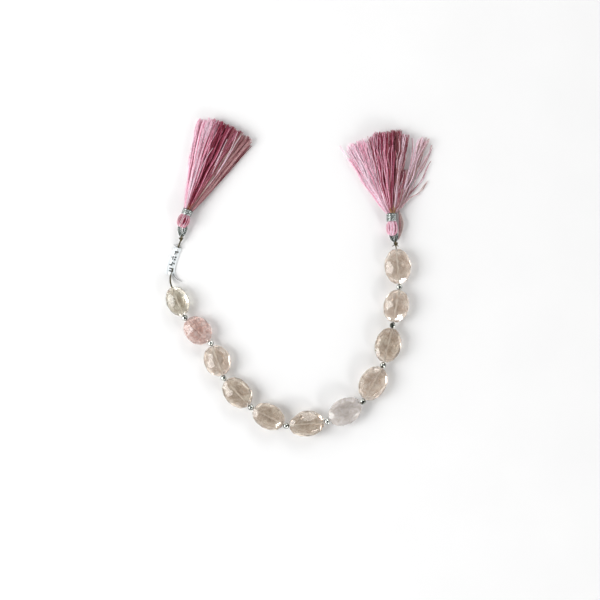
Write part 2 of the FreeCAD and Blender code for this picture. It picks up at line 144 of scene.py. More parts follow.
quartzLooks = {   # heart, body and rim colours, clearness
    "beige": ((0.46, 0.34, 0.27), (0.69, 0.57, 0.48), (0.96, 0.89, 0.80), 0.76),
    "smoky": ((0.40, 0.30, 0.23), (0.62, 0.51, 0.42), (0.94, 0.87, 0.76), 0.80),
    "clear": ((0.47, 0.40, 0.31), (0.69, 0.62, 0.51), (0.96, 0.94, 0.84), 0.85),
    "pink": ((0.54, 0.33, 0.29), (0.75, 0.53, 0.47), (0.96, 0.84, 0.80), 0.70),
    "milky": ((0.56, 0.49, 0.45), (0.72, 0.66, 0.62), (0.92, 0.89, 0.87), 0.64),
}
quartzVeils = {
    "size": 230, "detail": 5, "distortion": 2.2,
    "heartReach": 1.02,     # the heart against half the stone's size
    "heartWeight": -0.55,
    "stops": (0.18, 0.40, 0.66),
}


def quartz(name, look, centre, heading, half):
    # cloudy veils through the stone, with a browner heart and paler rims
    *colors, clearness = quartzLooks[look]
    material, tree, shader = newMaterial(
        name, IOR=1.544, Transmission_Weight=clearness, Roughness=0.035)
    veils = objectNoise(tree, quartzVeils["size"], quartzVeils["detail"], quartzVeils["distortion"])
    place = tree.nodes.new("ShaderNodeTexCoord")
    mapping = tree.nodes.new("ShaderNodeMapping")
    mapping.vector_type = "TEXTURE"
    mapping.inputs["Location"].default_value = centre
    mapping.inputs["Rotation"].default_value = (0, 0, heading)
    mapping.inputs["Scale"].default_value = half * quartzVeils["heartReach"]
    heart = tree.nodes.new("ShaderNodeTexGradient")
    heart.gradient_type = "QUADRATIC_SPHERE"
    tree.links.new(place.outputs["Object"], mapping.inputs["Vector"])
    tree.links.new(mapping.outputs["Vector"], heart.inputs["Vector"])
    mixed = tree.nodes.new("ShaderNodeMath")
    mixed.operation = "MULTIPLY_ADD"
    mixed.inputs[1].default_value = quartzVeils["heartWeight"]
    tree.links.new(heart.outputs["Fac"], mixed.inputs[0])
    tree.links.new(veils, mixed.inputs[2])
    color = ramp(tree, mixed.outputs["Value"], list(zip(quartzVeils["stops"], colors)))
    tree.links.new(color, shader.inputs["Base Color"])
    addBump(tree, shader, objectNoise(tree, 700, 2), 0.012, 0.0002)
    return material


def grained(name, grain, stops, bump=None, **sockets):
    # a colour that varies in a fine grain; the bump is its own grain, its strength and its depth
    material, tree, shader = newMaterial(name, **sockets)
    tree.links.new(ramp(tree, objectNoise(tree, *grain), stops), shader.inputs["Base Color"])
    if bump:
        size, detail, strength, depth = bump
        addBump(tree, shader, objectNoise(tree, size, detail), strength, depth)
    return material


def silk(name, color, sheen):
    stops = [(0.32, tinted(color, 0.78)), (0.5, color), (0.7, tinted(color, 1.18))]
    return grained(
        name, (1500, 2), stops, (5200, 1, 0.25, 0.00004), Roughness=0.5, Specular_IOR_Level=0.2,
        Sheen_Weight=sheen, Sheen_Roughness=0.35, Sheen_Tint=(1.0, 0.86, 0.9, 1))


def glintedMetalThread(name, color, roughness):
    # painted glints and painted shade: a random grain swings the thread's colour from about a fifth of it
    # to twice it
    stops = [(0.38, tinted(color, 0.22)), (0.52, color), (0.66, tinted(color, 2.1))]
    return grained(name, (2600, 2), stops, (4200, 2, 0.6, 0.00006), Metallic=0.75, Roughness=roughness)


boreFinish = grained(
    "frostedBore", (2400, 3), [(0.35, (0.80, 0.76, 0.72)), (0.7, (0.97, 0.96, 0.94))], Roughness=0.85)
# the grain's bright patches are the metal's colour, its near-black patches are painted dark reflection
spacerMetalAndReflection = grained(
    "polishedMetal", (560, 2), [(0.41, (0.035, 0.04, 0.032)), (0.55, (0.72, 0.74, 0.70))],
    (1800, 2, 0.12, 0.00005), Metallic=1.0, Roughness=0.06)
cordFinish = grained(
    "cordFibre", (2200, 3),
    [(0.34, (0.022, 0.018, 0.008)), (0.52, (0.066, 0.050, 0.018)), (0.74, (0.30, 0.23, 0.08))],
    (6000, 2, 0.4, 0.00004), Roughness=0.55, Specular_IOR_Level=0.45)
# the paper's bluish grey is painted shade of its curl, over the paper's own white
paperAndShade = grained(
    "labelPaper", (900, 4), [(0.3, (0.80, 0.86, 0.88)), (0.6, (0.90, 0.94, 0.95))],
    (3000, 3, 0.3, 0.00003), Roughness=0.8)
# the ink prints the label's marks and also colours the edge strips, which are painted shadow
inkAndEdgeShadow = grained(
    "labelInkAndShadow", (2600, 2), [(0.35, (0.02, 0.025, 0.025)), (0.7, (0.10, 0.11, 0.11))], Roughness=0.6)
silverThread = glintedMetalThread("silverThread", (0.46, 0.50, 0.48), 0.24)
darkThread = glintedMetalThread("darkThread", (0.10, 0.115, 0.105), 0.30)
# lit and shaded copies of the one pink silk: pale is painted light, pink and rose its middle tones, deep,
# mauve, dusky and ashen painted shade; bronze is the bronze winding thread
silkLitAndShaded = [
    silk("silkPale", (1.0, 0.74, 0.84), 0.55),
    silk("silkPink", (0.97, 0.47, 0.61), 0.20),
    silk("silkRose", (0.52, 0.13, 0.21), 0.03),
    silk("silkDeep", (0.27, 0.028, 0.055), 0.0),
    silk("silkMauve", (0.38, 0.14, 0.16), 0.02),
    silk("silkDusky", (0.66, 0.40, 0.41), 0.05),
    silk("silkAshen", (0.52, 0.40, 0.37), 0.05),
    silk("silkBronze", (0.34, 0.19, 0.07), 0.1),
]
pale, pink, rose, shadedDeep, shadedMauve, shadedDusky, shadedAshen, bronze = range(8)
print("materials ready")


# threads of every kind: many strands in one curve, made a mesh

def spinThreads(name, strands, thickness, finishes, roundness=0, closed=False):
    line = bpy.data.curves.new(name, "CURVE")
    line.dimensions = "3D"
    line.bevel_depth = thickness / 2
    line.bevel_resolution = roundness
    line.use_fill_caps = not closed
    for finish in finishes:
        line.materials.append(finish)
    for points, widths, finish in strands:
        spline = line.splines.new("POLY")
        spline.points.add(len(points) - 1)
        spline.points.foreach_set("co", [part for point in points for part in (*point, 1)])
        spline.points.foreach_set("radius", widths or [1.0] * len(points))
        spline.use_cyclic_u = closed
        spline.material_index = finish
        spline.use_smooth = True
    piece = bpy.data.objects.new(name, line)
    bpy.context.collection.objects.link(piece)
    pick(piece)
    bpy.ops.object.convert(target="MESH")
    return bpy.context.view_layer.objects.active


def routeLine(points, steps):
    # the smooth line of a cord's route, read from its own NURBS spline
    line = bpy.data.curves.new("route", "CURVE")
    line.dimensions = "3D"
    spline = line.splines.new("NURBS")
    spline.points.add(len(points) - 1)
    for spot, point in zip(spline.points, points):
        spot.co = (*point, 1)
    spline.order_u = 3
    spline.use_endpoint_u = True
    spline.resolution_u = steps
    holder = bpy.data.objects.new("route", line)
    bpy.context.collection.objects.link(holder)
    bpy.context.view_layer.update()
    mesh = bpy.data.meshes.new_from_object(holder.evaluated_get(bpy.context.evaluated_depsgraph_get()))
    spots = [vertex.co.copy() for vertex in mesh.vertices]
    bpy.data.objects.remove(holder)
    bpy.data.meshes.remove(mesh)
    return spots


def plies(line, count, offset, layLength):
    # strands laid round a line, turning once in each lay length
    strands = []
    for ply in range(count):
        run = 0.0
        points = []
        for index, spot in enumerate(line):
            ahead = line[min(index + 1, len(line) - 1)] - line[max(index - 1, 0)]
            if index:
                run += (spot - line[index - 1]).length
            along = ahead.normalized()
            side = up.cross(along).normalized()
            over = along.cross(side)
            turn = 2 * math.pi * (ply / count + run / layLength)
            points.append(spot + (side * math.cos(turn) + over * math.sin(turn)) * offset)
        strands.append((points, None, 0))
    return strands


def drillThrough(piece, across, length, sides, finish):
    # a bore along X
    bpy.ops.mesh.primitive_cylinder_add(
        vertices=sides, radius=across / 2, depth=length, rotation=(0, math.pi / 2, 0))
    drill = bpy.context.object
    drill.data.materials.append(finish)
    pick(piece)
    bore = piece.modifiers.new("bore", "BOOLEAN")
    bore.object = drill
    bore.solver = "EXACT"
    bore.material_mode = "TRANSFER"
    bpy.ops.object.modifier_apply(modifier="bore")
    bpy.data.objects.remove(drill)


# the stones: a block cut by planes that touch an oval, as a lapidary grinds it

stoneCut = {
    "tipBeyondMouth": 0.35 * mm,
    "bands": [(55, 8, 0.975), (34, 10, 0.975), (6, 14, 0.99)],   # rise, facets round, depth
    "unevenRise": 4.0,
    "unevenTurn": 6.0,
    "unevenDepth": (-0.012, 0.006),
    "mergeWithin": 0.03 * mm,
    "flatWithin": math.radians(1.0),
    "edgeRound": 0.07 * mm,
    "boreAcross": 0.76 * mm,
    "boreSides": 20,
    "drillSpare": 2 * mm,   # how much longer the drill is than the stone
    "looks": [
        "clear", "pink", "beige", "smoky", "smoky", "smoky",
        "milky", "beige", "smoky", "beige", "beige"],
}
chips = {   # extra cuts of single stones: turn, rise, depth
    1: [(249, 52, 0.94)],
    2: [(218, 47, 0.95)],
    3: [(72, 12, 0.93)],
    5: [(75, 50, 0.90), (345, 20, 0.93)],
    6: [(128, 8, 0.86), (140, -10, 0.88), (75, 45, 0.88)],
    8: [(265, 20, 0.93)],
    10: [(210, 37, 0.94)],
    11: [(52, 10, 0.91), (95, 45, 0.93)],
}


def facetPlanes(half, number, draw):
    tip = half.copy()
    tip.x += stoneCut["tipBeyondMouth"]
    wanted = []
    for face in (1, -1):
        for band, (rise, count, depth) in enumerate(stoneCut["bands"]):
            for facet in range(count):
                turn = 360 * (facet + 0.5 * (band % 2)) / count
                turn += draw.uniform(-1, 1) * stoneCut["unevenTurn"]
                lift = rise + draw.uniform(-1, 1) * stoneCut["unevenRise"]
                wanted.append((turn, face * lift, depth + draw.uniform(*stoneCut["unevenDepth"])))
    wanted += chips.get(number, [])
    for turn, lift, depth in wanted:
        turn, lift = math.radians(turn), math.radians(lift)
        out = Vector((math.cos(lift) * math.cos(turn), math.cos(lift) * math.sin(turn), math.sin(lift)))
        spot = Vector((out.x * tip.x, out.y * tip.y, out.z * tip.z)) * depth
        facing = Vector((out.x / tip.x, out.y / tip.y, out.z / tip.z)).normalized()
        yield spot, facing


def cutStone(number):
    name = f"bead_{number:02d}"
    draw = random.Random(number * 7 + 3)
    centre, along = jointPlace(f"{name}_spin")
    place = placeAlong(centre, along)
    side = place.to_3x3() @ Vector((0, 1, 0))
    half = Vector([reachOf(name, centre, way)[1] for way in (along, side, up)])
    bpy.ops.mesh.primitive_cube_add(size=2, location=(0, 0, 0))
    stone = bpy.context.object
    stone.name = stone.data.name = f"stone{number:02d}"
    stone.scale = half
    bpy.ops.object.transform_apply(location=False, rotation=False, scale=True)
    bpy.ops.object.mode_set(mode="EDIT")
    for spot, facing in facetPlanes(half, number, draw):
        bpy.ops.mesh.select_all(action="SELECT")
        bpy.ops.mesh.bisect(plane_co=spot, plane_no=facing, use_fill=True, clear_outer=True)
    bpy.ops.mesh.select_all(action="SELECT")
    bpy.ops.mesh.remove_doubles(threshold=stoneCut["mergeWithin"])
    bpy.ops.mesh.dissolve_limited(angle_limit=stoneCut["flatWithin"])
    bpy.ops.mesh.select_all(action="SELECT")
    bpy.ops.mesh.bevel(offset=stoneCut["edgeRound"], segments=1, affect="EDGES", clamp_overlap=True)
    bpy.ops.mesh.select_all(action="SELECT")
    bpy.ops.mesh.normals_make_consistent(inside=False)
    bpy.ops.object.mode_set(mode="OBJECT")
    heading = math.atan2(along.y, along.x)
    look = stoneCut["looks"][number - 1]
    stone.data.materials.append(quartz(f"{look}Quartz{number:02d}", look, centre, heading, half))
    drillLength = half.x * 2 + stoneCut["drillSpare"]
    drillThrough(stone, stoneCut["boreAcross"], drillLength, stoneCut["boreSides"], boreFinish)
    settle(stone, place)
    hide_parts(name)
    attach(stone, name)


for number in range(1, 12):
    cutStone(number)
print("stones cut")


# the spacers: one polished ball with a countersunk bore, copied

spacerShape = {
    "radius": 1.5 * mm, "boreAcross": 0.74 * mm, "boreSides": 32, "lip": 0.09 * mm,
    "sharp": math.radians(50),
}


def turnSpacer():
    bpy.ops.mesh.primitive_uv_sphere_add(
        segments=48, ring_count=24, radius=spacerShape["radius"], rotation=(0, math.pi / 2, 0))
    ball = bpy.context.object
    ball.name = ball.data.name = "spacerPattern"
    bpy.ops.object.transform_apply(rotation=True)
    ball.data.materials.append(spacerMetalAndReflection)
    drillLength = 4 * spacerShape["radius"]
    drillThrough(ball, spacerShape["boreAcross"], drillLength, spacerShape["boreSides"], spacerMetalAndReflection)
    lip = ball.modifiers.new("lip", "BEVEL")
    lip.width = spacerShape["lip"]
    lip.segments = 2
    lip.limit_method = "ANGLE"
    lip.angle_limit = spacerShape["sharp"]
    bpy.ops.object.modifier_apply(modifier="lip")
    bpy.ops.object.shade_smooth_by_angle(angle=spacerShape["sharp"])
    return ball


def copySpacer(pattern, number):
    name = f"spacer_{number:02d}"
    spacer = pattern.copy()
    spacer.data = pattern.data.copy()
    spacer.name = spacer.data.name = f"polishedSpacer{number:02d}"
    bpy.context.collection.objects.link(spacer)
    settle(spacer, placeAlong(*jointPlace(f"{name}_spin")))
    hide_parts(name)
    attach(spacer, name)


spacerPattern = turnSpacer()
for number in range(1, 11):
    copySpacer(spacerPattern, number)
bpy.data.objects.remove(spacerPattern)
print("spacers turned")


# the stringing cord

cordShape = {
    "thickness": 0.86 * mm, "plies": 3, "plyThickness": 0.48 * mm, "layLength": 2.4 * mm, "smoothness": 14,
    "corner": (-0.77 * mm, 2.38 * mm),   # where the bare cord turns, from the first stone's mouth
    "cornerHeight": 1.75 * mm,
    "bendReach": 0.7 * mm,               # the reach of each bend to both sides
}

for name, node in frame["nodes"].items():
    if name.startswith("thread_in"):
        node.data.materials.clear()
        node.data.materials.append(cordFinish)


def layCord(name, line):
    offset = (cordShape["thickness"] - cordShape["plyThickness"]) / 2
    strands = plies(line, cordShape["plies"], offset, cordShape["layLength"])
    cord = spinThreads(name, strands, cordShape["plyThickness"], [cordFinish], 1)
    return cord


def layBareCord():
    mouthBend, _ = jointPlace("left_cord_swing")
    labelFoot, _ = jointPlace("left_label_lift")
    labelTop, _ = jointPlace("left_upper_swing")
    knot, _ = jointPlace("left_knot_swing")
    _, strung = jointPlace("bead_01_spin")
    cornerAcross, cornerAlong = cordShape["corner"]
    corner = Vector((mouthBend.x + cornerAcross, mouthBend.y + cornerAlong, cordShape["cornerHeight"]))
    lower = routeLine([
        mouthBend + strung * 1.6 * mm, mouthBend + strung * 0.6 * mm,
        mouthBend + (corner - mouthBend) * 0.3, corner,
        labelFoot, labelFoot + (labelTop - labelFoot) * 0.25], cordShape["smoothness"])
    upper = routeLine([
        labelFoot + (labelTop - labelFoot) * 0.75, labelTop,
        labelTop + (knot - labelTop) * 0.55, knot], cordShape["smoothness"])
    half = len(lower) // 2
    inLabel = (labelTop - labelFoot).normalized()
    toKnot = (knot - labelTop).normalized()
    pieces = [   # name, line, first and second body, bend, way through it, replaced node
        ("bareCordLow", lower[:half + 1], "thread_01", "left_cord_lower",
         mouthBend, -strung, "left_cord_lower"),
        ("bareCordMiddle", lower[half:], "left_cord_lower", "left_label",
         labelFoot, inLabel, "left_cord_in_label"),
        ("bareCordTop", upper, "left_label", "left_cord_upper",
         labelTop, toKnot, "left_cord_upper"),
    ]
    for name, line, first, second, bend, way, node in pieces:
        cord = layCord(name, line)
        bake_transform(cord)
        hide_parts(node)


layBareCord()
print("cord laid")


# the knots

knotShape = {
    "size": 0.29 * mm, "thickness": 0.54 * mm, "steps": 72,
    "hitchReach": 1.5 * mm, "hitchRise": 0.95 * mm, "hitchSteps": 28,
}


def tieKnot(side, body):
    centre, _ = jointPlace(f"{side}_tassel_lift")
    loop = []
    for step in range(knotShape["steps"]):
        turn = 2 * math.pi * step / knotShape["steps"]
        loop.append(Vector((
            math.sin(turn) + 2 * math.sin(2 * turn),
            math.cos(turn) - 2 * math.cos(2 * turn),
            -1.3 * math.sin(3 * turn))) * knotShape["size"] + centre)
    wrapLow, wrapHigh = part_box(f"{side}_wrap")
    toward = ((wrapLow + wrapHigh) / 2 - centre).normalized()
    hitch = []
    for step in range(knotShape["hitchSteps"]):
        turn = 2 * math.pi * step / knotShape["hitchSteps"]
        hitch.append(centre + toward * knotShape["hitchReach"] * (1 - math.cos(turn)) / 2
                     + up * knotShape["hitchRise"] * math.sin(turn))
    knot = spinThreads(f"{side}TiedKnot", [(loop, None, 0), (hitch, None, 0)],
                       knotShape["thickness"], [cordFinish], 2, True)
    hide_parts(body)
    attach(knot, body)


tieKnot("left", "left_knot")
tieKnot("right", "right_knot")


cordEnds = {
    "plies": 2, "plyThickness": 0.24 * mm, "plyOffset": 0.09 * mm, "layLength": 1.6 * mm, "smoothness": 8,
    "routes": [   # from the knot's centre, in mm
        [(0, 0, 0.4), (-0.7, -0.35, 0.9), (-1.25, -0.9, 1.0), (-1.75, -1.25, 0.9)],
        [(0, 0, 0.4), (0.5, -0.4, 0.9), (0.95, -0.8, 1.05), (1.1, -1.4, 0.95)],
    ],
}


def trimmedEnds():
    # two cut ends of the cord that stick out of the right knot
    centre, _ = jointPlace("right_tassel_lift")
    strands = []
    for route in cordEnds["routes"]:
        line = routeLine([centre + Vector(spot) * mm for spot in route], cordEnds["smoothness"])
        strands += plies(line, cordEnds["plies"], cordEnds["plyOffset"], cordEnds["layLength"])
    piece = spinThreads("rightCordEnds", strands, cordEnds["plyThickness"], [cordFinish], 1)
    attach(piece, "right_knot")


trimmedEnds()
print("knots tied")


# the paper label, folded over the cord

labelShape = {
    "cells": (56, 44),      # along and round the folded strip
    "paper": 0.09 * mm,
    "clear": 0.12 * mm,
    "edgeThickness": 0.2 * mm,
    "fold": 0.5,            # where the strip turns, and how much of it the turn takes
    "turnWidth": 0.06,
    "printFrom": 0.53,      # the part of the strip that lies on top
    "curl": 1.5 * mm,
    "pinch": (0.80, 0.14),  # width at the foot, and how much narrower it is at the top
    "bulge": (0.85 * mm, 0.24),
    "raisedEdge": 0.55 * mm,
    "underHeight": -0.42 * mm,
    "overHeight": -0.24 * mm,
    "foldHeight": -0.33 * mm,
    "foldRadius": 0.09 * mm,
    "smooth": math.radians(40),
    "marks": [              # printed dashes: from and to along, from and to across
        (0.82, 0.87, 0.20, 0.72), (0.74, 0.87, 0.46, 0.60), (0.62, 0.67, 0.16, 0.44),
        (0.54, 0.59, 0.16, 0.44), (0.54, 0.67, 0.52, 0.66), (0.60, 0.64, 0.52, 0.84),
        (0.39, 0.44, 0.12, 0.36), (0.33, 0.46, 0.44, 0.58), (0.33, 0.38, 0.44, 0.82),
        (0.20, 0.25, 0.18, 0.72), (0.11, 0.25, 0.18, 0.32), (0.11, 0.16, 0.30, 0.72),
    ],
}
edgeShadowStrips = {   # each narrow edge that stands up, drawn dark as painted shadow of the paper's edge: its height and its line from the foot, in mm
    "labelTail": (0.7 * mm, [
        (1.3, -0.9, 0.0), (0.2, -1.8, 0.1), (-0.7, -3.0, -0.1), (-1.2, -4.6, -0.2), (-1.3, -6.2, -0.25)]),
    "labelTopEdge": (0.9 * mm, [
        (14.9, 2.4, 0.2), (14.4, 1.0, 0.3), (14.2, -0.4, 0.3), (14.3, -2.0, 0.1)]),
}


def foldLabel():
    foot, _ = jointPlace("left_label_lift")
    top, _ = jointPlace("left_upper_swing")
    along = (top - foot).normalized()
    place = placeAlong(foot, along)
    low, high = reachOf("paper_label", foot, along)
    side = place.to_3x3() @ Vector((0, 1, 0))
    halfWide = reachOf("paper_label", foot, side)[1]
    alongCells, roundCells = labelShape["cells"]
    bpy.ops.mesh.primitive_grid_add(x_subdivisions=alongCells, y_subdivisions=roundCells, size=1)
    label = bpy.context.object
    label.name = label.data.name = "foldedLabel"
    label.data.materials.append(paperAndShade)
    label.data.materials.append(inkAndEdgeShadow)
    for face in label.data.polygons:
        share, roundShare = face.center.x + 0.5, face.center.y + 0.5
        across = (roundShare - labelShape["printFrom"]) / (1 - labelShape["printFrom"])
        for begin, end, left, right in labelShape["marks"]:
            if begin < share < end and left < across < right:
                face.material_index = 1
    for vertex in label.data.vertices:
        vertex.co = labelSpot(vertex.co.x + 0.5, vertex.co.y + 0.5, low, high, halfWide)
    thick = label.modifiers.new("paper", "SOLIDIFY")
    thick.thickness = labelShape["paper"]
    thick.offset = 0
    pick(label)
    bpy.ops.object.modifier_apply(modifier="paper")
    bpy.ops.object.shade_smooth_by_angle(angle=labelShape["smooth"])
    settle(label, place)
    lift = labelShape["clear"] - min(vertex.co.z for vertex in label.data.vertices)
    if lift > 0:
        for vertex in label.data.vertices:
            vertex.co.z += lift * 0.5
    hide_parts("paper_label")
    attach(label, "left_label")


def labelSpot(share, roundShare, low, high, halfWide):
    # the strip goes out under the cord, turns at the fold and comes back over it
    fold, turnWidth, radius = labelShape["fold"], labelShape["turnWidth"], labelShape["foldRadius"]
    run = low + (high - low) * share
    shift = labelShape["curl"] * math.sin(math.pi * share ** 0.8) * 0.5
    footWidth, taper = labelShape["pinch"]
    pinch = footWidth - taper * share
    if roundShare < fold - turnWidth / 2:
        across = roundShare / (fold - turnWidth / 2)
        return Vector((run, halfWide * (1 - 2 * across) * pinch + shift, labelShape["underHeight"]))
    if roundShare > fold + turnWidth / 2:
        across = (roundShare - fold - turnWidth / 2) / (fold - turnWidth / 2)
        bulge, spread = labelShape["bulge"]
        hump = math.exp(-((across - 0.5) / spread) ** 2) * bulge
        edge = labelShape["raisedEdge"] * smooth((across - 0.72) / 0.28) * (1 - share)
        height = labelShape["overHeight"] + hump * 0.8 + edge
        return Vector((run, halfWide * (2 * across - 1) * pinch + shift, height))
    turn = math.pi * ((roundShare - fold) / turnWidth + 0.5)
    return Vector((run, (-halfWide - radius * math.sin(turn)) * pinch + shift,
                   labelShape["foldHeight"] - radius * math.cos(turn)))


foldLabel()


def labelEdge(name):
    # the torn tail at the label's foot and the cut edge at its top, as dark strips of painted shadow
    tall, route = edgeShadowStrips[name]
    foot, _ = jointPlace("left_label_lift")
    top, _ = jointPlace("left_upper_swing")
    place = placeAlong(foot, (top - foot).normalized())
    line = routeLine([place @ (Vector(spot) * mm) for spot in route], 8)
    cells = len(line) - 1
    bpy.ops.mesh.primitive_grid_add(x_subdivisions=cells, y_subdivisions=1, size=1)
    edge = bpy.context.object
    edge.name = edge.data.name = name
    for vertex in edge.data.vertices:
        share = vertex.co.x + 0.5
        height = tall * (1 - 0.6 * share)
        vertex.co = line[round(share * cells)] + up * height * (0.15 + vertex.co.y)
    edge.data.materials.append(inkAndEdgeShadow)
    thick = edge.modifiers.new("paper", "SOLIDIFY")
    thick.thickness = labelShape["edgeThickness"]
    pick(edge)
    bpy.ops.object.modifier_apply(modifier="paper")
    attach(edge, "left_label")


labelEdge("labelTail")
labelEdge("labelTopEdge")
print("label folded")


# the tassels

tasselLooks = {
    "left": {
        "seed": 21, "apexBack": 9.9 * mm,   # the fan's threads point back to here, behind the neck
        "curl": 0.13, "looseEnds": 2, "wrapTurns": 8, "yarns": 128, "yarnSpread": 0.42 * mm,
        "waviness": 0.34 * mm, "ragged": 0.05, "strays": 20, "fuzz": 0.6,
        "loopTurns": 13, "loopThread": 0.34 * mm, "loopSpread": 2.2 * mm,
        "headStrands": 96, "headShares": [5, 4, 4, 3, 1],
        # from, to, share of the yarns, length, how far the clump swings out, filaments in a yarn
        "clumps": [
            (0.62, 1.0, 0.18, 0.97, 0.0, 9), (-0.90, 0.62, 0.77, 0.995, 0.0, 9),
            (-1.0, -0.90, 0.05, 0.97, 0.0, 9)],
    },
    "right": {
        "seed": 34, "apexBack": 9.6 * mm,
        "curl": 0.0, "looseEnds": 8, "wrapTurns": 8, "yarns": 124, "yarnSpread": 0.62 * mm,
        "waviness": 0.62 * mm, "ragged": 0.09, "strays": 24, "fuzz": 1.5,
        "loopTurns": 12, "loopThread": 0.34 * mm, "loopSpread": 2.0 * mm,
        "headStrands": 92, "headShares": [7, 4, 1, 1, 0],
        "clumps": [
            (0.34, 1.0, 0.34, 0.96, 0.03, 8), (0.0, 0.36, 0.24, 0.99, 0.0, 9),
            (-0.20, -0.03, 0.12, 1.0, 0.0, 8), (-0.42, -0.22, 0.12, 0.97, 0.0, 8),
            (-0.60, -0.40, 0.09, 0.62, 0.0, 8), (-0.80, -0.60, 0.06, 0.42, 0.0, 8),
            (-0.88, -0.70, 0.07, 1.0, -0.03, 4),
            (-0.70, -0.66, 0.02, 0.96, -0.02, 3), (-0.98, -0.95, 0.02, 0.96, -0.09, 3),
            (-1.04, -1.0, 0.02, 0.80, -0.20, 2), (-1.02, -1.0, 0.01, 0.90, -0.02, 2),
            (-1.08, -1.05, 0.01, 0.64, -0.40, 2), (-1.02, -0.99, 0.01, 0.46, -0.55, 2),
            (1.03, 1.07, 0.02, 1.0, 0.10, 2), (0.96, 1.04, 0.03, 0.84, 0.10, 3),
        ],
    },
}


paintedLightZones = {   # painted light and shade from the bright edge across: pale and pink where light falls, rose and deep for the shaded grooves, mauve, dusky and ashen for the shaded far side; each zone's start, its silks and their running shares
    "left": [
        (0.46, [(pale, 0.56), (pink, 0.93), (rose, 1)]),
        (0.26, [(pale, 0.16), (pink, 0.46), (rose, 0.84), (shadedDeep, 1)]),
        (-0.30, [(pink, 0.05), (rose, 0.34), (shadedDeep, 0.90), (shadedMauve, 1)]),
        (-0.62, [(pink, 0.03), (rose, 0.28), (shadedMauve, 0.66), (shadedDeep, 1)]),
        (-9, [(shadedDusky, 0.30), (shadedAshen, 0.40), (shadedMauve, 0.94), (shadedDeep, 1)]),
    ],
    "right": [
        (0.42, [(pale, 0.62), (pink, 0.99), (rose, 1)]),
        (0.06, [(pale, 0.02), (pink, 0.09), (rose, 0.30), (shadedDeep, 1)]),
        (-0.10, [(pale, 0.02), (pink, 0.10), (rose, 0.32), (shadedMauve, 0.50), (shadedDeep, 1)]),
        (-0.60, [(pale, 0.05), (shadedDusky, 0.16), (rose, 0.26), (shadedMauve, 0.96), (shadedDeep, 1)]),
        (-9, [(pale, 0.20), (shadedDusky, 0.62), (shadedAshen, 0.90), (shadedMauve, 1)]),
    ],
}
toneBlur = 0.07        # how far a zone's edge is scattered
paintedTopLight = 0.16        # how much lighter the upper threads are: painted light on top, the lower threads in painted shade


def toneFor(side, across, height, draw):
    # which silk a yarn shows, by how far across the fan it lies and how high: painted light and shade
    across += draw.gauss(0, toneBlur)
    roll = draw.random() - paintedTopLight * (height - 0.5)
    for start, shares in paintedLightZones[side]:
        if across > start:
            break
    for tone, limit in shares:
        if roll < limit:
            return tone
    return shares[-1][0]


class Tassel:
    # a tassel's measures, in a frame with its neck at the origin and its skirt along X
    def __init__(self, side):
        self.side = side
        self.look = tasselLooks[side]
        self.draw = random.Random(self.look["seed"])
        neck, axis = jointPlace(f"{side}_skirt_bend")
        across = -axis if side == "left" else axis
        self.along = Vector((across.y, -across.x, 0)).normalized()
        self.place = placeAlong(neck, self.along)
        self.wide = self.place.to_3x3() @ Vector((0, 1, 0))
        self.neck = neck
        self.floor = -neck.z
        self.wrapLow, self.wrapHigh = reachOf(f"{side}_wrap", neck, self.along)
        self.wrapRadius = reachOf(f"{side}_wrap", neck, up)[1]
        self.headLow, _ = reachOf(f"{side}_head", neck, self.along)
        self.headRadius = reachOf(f"{side}_head", neck, up)[1]
        self.top = reachOf(f"{side}_skirt", neck, up)[1]
        self.apex = self.look["apexBack"]
        self.reach = reachOf(f"{side}_skirt", neck, self.along)[1] + self.apex
        self.fan = math.asin(min(0.9, reachOf(f"{side}_skirt", neck, self.wide)[1] / self.reach))

    def world(self, points):
        return [self.place @ point for point in points]

    def spread(self, run):
        # 0 at the wrap, 1 where the skirt has its full thickness
        return smooth((run - self.wrapHigh) / (0.35 * self.reach))


skirtShape = {
    "filament": 0.21 * mm, "steps": 13,
    "insideWrap": 1.2 * mm,      # how far inside the wrap the filaments begin
    "coreRadius": 1.75 * mm,
    "opensOver": 5 * mm,         # the fan opens over this length
    "sameTone": 0.45,            # share of a yarn's filaments with the yarn's own tone
    "unevenCut": 0.012,
    "kink": 0.10 * mm,
    "aboveTable": 0.12 * mm,
    "bendFrom": -2.4 * mm,
    "bendTo": 3.2 * mm,
}
anyPhase = (0, 6.3)


def layFilaments(tassel):
    look, draw = tassel.look, tassel.draw
    strands = []
    for clumpFrom, clumpTo, share, clumpLength, swing, filaments in look["clumps"]:
        count = max(2, round(look["yarns"] * share))
        for yarn in range(count):
            across = clumpFrom + (clumpTo - clumpFrom) * (yarn + draw.uniform(0.1, 0.9)) / count
            strands += layYarn(tassel, across, draw.random(), clumpLength, swing, filaments)
    for _ in range(look["strays"]):
        strands.append(layStray(tassel, draw.uniform(-0.95, 0.98)))
    for _ in range(look["looseEnds"]):
        strands.append(layLooseEnd(tassel))
    return strands


def neckSpot(across, height):
    # where a strand leaves the wrap: inside a disc of the core's size
    radius = skirtShape["coreRadius"]
    room = math.sqrt(max(0.04, 1 - min(1, abs(across)) ** 2))
    return radius * max(-1, min(1, across)), radius * room * (2 * height - 1)


